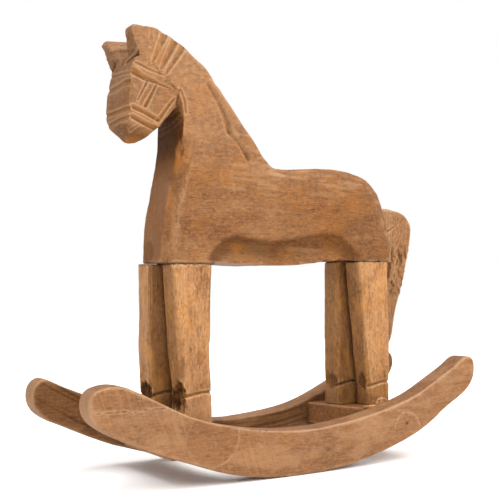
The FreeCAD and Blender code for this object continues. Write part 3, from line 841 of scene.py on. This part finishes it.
def mark_fillers(work, s, seed, front, rear):
    """Outer face: a sanded patch over the front plug, a ring with a dark dot over the rear one, saw marks."""
    x, y, z = work.co.T
    outer = work.facing((0, s, 0), 0.6, 0.9)
    wander = work.field((9, 9, 9), seed)
    cloud = work.field((30, 20, 12), seed)
    broken = 0.6 + 0.4 * smoothstep(-0.1, 0.35, work.field((4, 4, 4), seed + 7))
    patch = np.hypot((x - front[0]) / 1.1, (z - PATCH_Z)) + wander
    behind = smoothstep(-2, 2, front[0] - x)
    outline = np.exp(-((patch - PATCH_RADIUS) / 0.45) ** 2)
    beyond = smoothstep(PATCH_RADIUS - 1, PATCH_RADIUS + 1, patch)
    work.mark("wear_and_sheen", outline * (0.2 + 0.45 * behind) * outer * broken)
    work.mark("fresh", smoothstep(15, 12, patch) * 0.3 * outer)
    work.mark("pale_and_highlight", smoothstep(-0.1, 0.5, cloud) * 0.5 * beyond)
    work.mark("sawn", beyond * smoothstep(18, 34, x + cloud * 20) * outer)
    ring_x, ring_z = x - rear[0] + 0.6, z - rear[2] + 3.5
    ring = np.hypot(ring_x, ring_z) + wander * 0.8
    arch = smoothstep(-0.5, 0.5, np.sin(np.arctan2(ring_z, ring_x)))
    work.mark("wear_and_sheen", np.exp(-((ring - RING_RADIUS) / 0.45) ** 2) * 0.75 * outer * arch * broken)
    work.blot("burn_and_shade", (rear[0], rear[2] - 0.5), (0.9, 0.8), 1.0, (0, 2), 0.3, outer)
    # The upper outer edge is worn pale, and carries a painted highlight.
    rim = smoothstep(0.35, 0.6, np.minimum(work.normal[:, 1] * s, work.normal[:, 2]))
    work.mark("wear_and_sheen", rim * (0.35 + 0.5 * broken))


def scratch_rocker(work, s, seed):
    """Crack near the front end, pricks in the top edge, and pin holes and short dents in the outer face."""
    crack = [(x, 40.8 + 2.4 * noise.noise(Vector((x / 5, seed, 0)))) for x in range(121, 82, -3)]
    work.groove(XZ, (0, s, 0), crack, 0.9, 0.3, 0.0, stain_and_shade=0.8)
    x, y, z = work.co.T
    outer = work.facing((0, s, 0), 0.6, 0.9)
    top = smoothstep(0.3, 0.6, work.normal[:, 2])
    for prick_x, inset in TOP_PRICKS:
        spot = np.hypot((x - prick_x) / 0.9, (y - s * (ROCKER_SIDE_Y - inset)) / 0.7)
        work.mark("burn_and_shade", smoothstep(1.1, 0.5, spot) * top * 0.8)
    rng = np.random.default_rng(seed)
    for _ in range(16):
        dent_x = rng.uniform(-100, 105)
        dent_z = rng.uniform(0.25, 0.8) * 22 + 0.0021 * dent_x * dent_x
        radius = (rng.uniform(0.5, 1.6), 0.5)
        work.blot("burn_and_shade", (dent_x, dent_z), radius, rng.uniform(0.35, 0.8), (0, 2), 0.4, outer)
    # Saw chip in the underside.
    work.groove(XZ, (0, s, -0.6), [(-103.6, 28.0), (-102.6, 25.4)], 1.8, 1.0, 0.0, stain_and_shade=0.0, fresh=0.6)


def carve_rocker(side, material):
    """Sawn board with worn edges, and painted shade in bands on the inside.  The fillers are one surface with
    it.
    """
    s = SIDES[side]
    plugs = [f"plug_rocker_{end}_{side}" for end in ENDS]
    centres = [(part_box(plug)[0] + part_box(plug)[1]) / 2 for plug in plugs]
    work = Carving(f"rocker_{side}", 0.7, [(c.x, c.z, PLUG_HOLE_RADIUS * MM) for c in centres], 1)
    seed = 50 + (s > 0)
    work.facets(26.0, 0.5, 0.35, seed)
    work.wobble(30, 0.5, seed)
    work.wobble(7, 0.08, seed + 3)
    work.refresh_normals()
    mark_fillers(work, s, seed, *(np.array(c) / MM for c in centres))
    scratch_rocker(work, s, seed)
    # Painted shade in bands on the inner face.
    bands = np.array([noise.noise(Vector((x / 40, seed, z / 1.6 - x * x / 640))) for x, y, z in work.co])
    work.mark("stain_and_shade", work.facing((0, -s, 0), 0.5, 0.9) * (0.5 + smoothstep(0.05, 0.4, bands) * 0.4))
    work.mark("pale_and_highlight", work.facing((1, 0, 0.25), 0.5, 0.85) * (work.co[:, 0] > 90) * 0.6)
    return work.finish(f"rocker_{side}_carved", material, plugs)


def carve_crossbar(end, material):
    """Plain bar, dirty on top and at the rockers, with a small chip in its front."""
    work = Carving(f"crossbar_{end}", 0.75)
    work.wobble(14, 0.25, 60 + ENDS.index(end))
    work.wobble(4, 0.08, 62)
    x, y, z = work.co.T
    work.mark("stain_and_shade", work.facing((0, 0, 1), 0.6, 0.9) * 0.35)
    work.mark("stain_and_shade", smoothstep(24.5, 28.0, np.abs(y)) * 0.5)
    chip = np.hypot((y + 4.0) / 0.8, (z - z.max() + 4.0) / 3.0)
    work.mark("fresh", smoothstep(1.2, 0.5, chip) * work.facing((1, 0, 0), 0.6, 0.9))
    return work.finish(f"crossbar_{end}_carved", material)


def carve_glue(node, material):
    """Lumpy bead of squeezed-out glue."""
    work = Carving(node, 0.3)
    work.wobble(2.2, 0.35, 70)
    work.wobble(0.9, 0.05, 71)
    return work.finish(node + "_lump", material)


def dress_fixings(dowel, steel):
    """Dowels and nails keep their CAD shape, and take a finished material."""
    for name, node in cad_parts.items():
        paint = dowel if name.startswith("dowel") else steel if name.startswith("nail") else None
        if paint:
            for slot in node.material_slots:
                slot.material = paint


make_camera()
make_studio()
woods = wood_materials()
carve_body(woods["body"])
for which_end in ENDS:
    for which_side in SIDES:
        carve_leg(which_end, which_side, woods["leg"])
carve_tail(woods["tail"])
for which_side in SIDES:
    carve_rocker(which_side, woods["rocker"])
for which_end in ENDS:
    carve_crossbar(which_end, woods["bar"])
amber = plain_material("amber_glue", (0.26, 0.095, 0.020), (0.42, 0.20, 0.062), 260, 0.16)
steel = plain_material("nail_steel", (0.30, 0.29, 0.28), (0.48, 0.47, 0.46), 900, 0.35, metallic=1.0)
for glue_node in ("glue_bead_hoof", "glue_strand_crossbar"):
    carve_glue(glue_node, amber)
dress_fixings(woods["dowel"], steel)
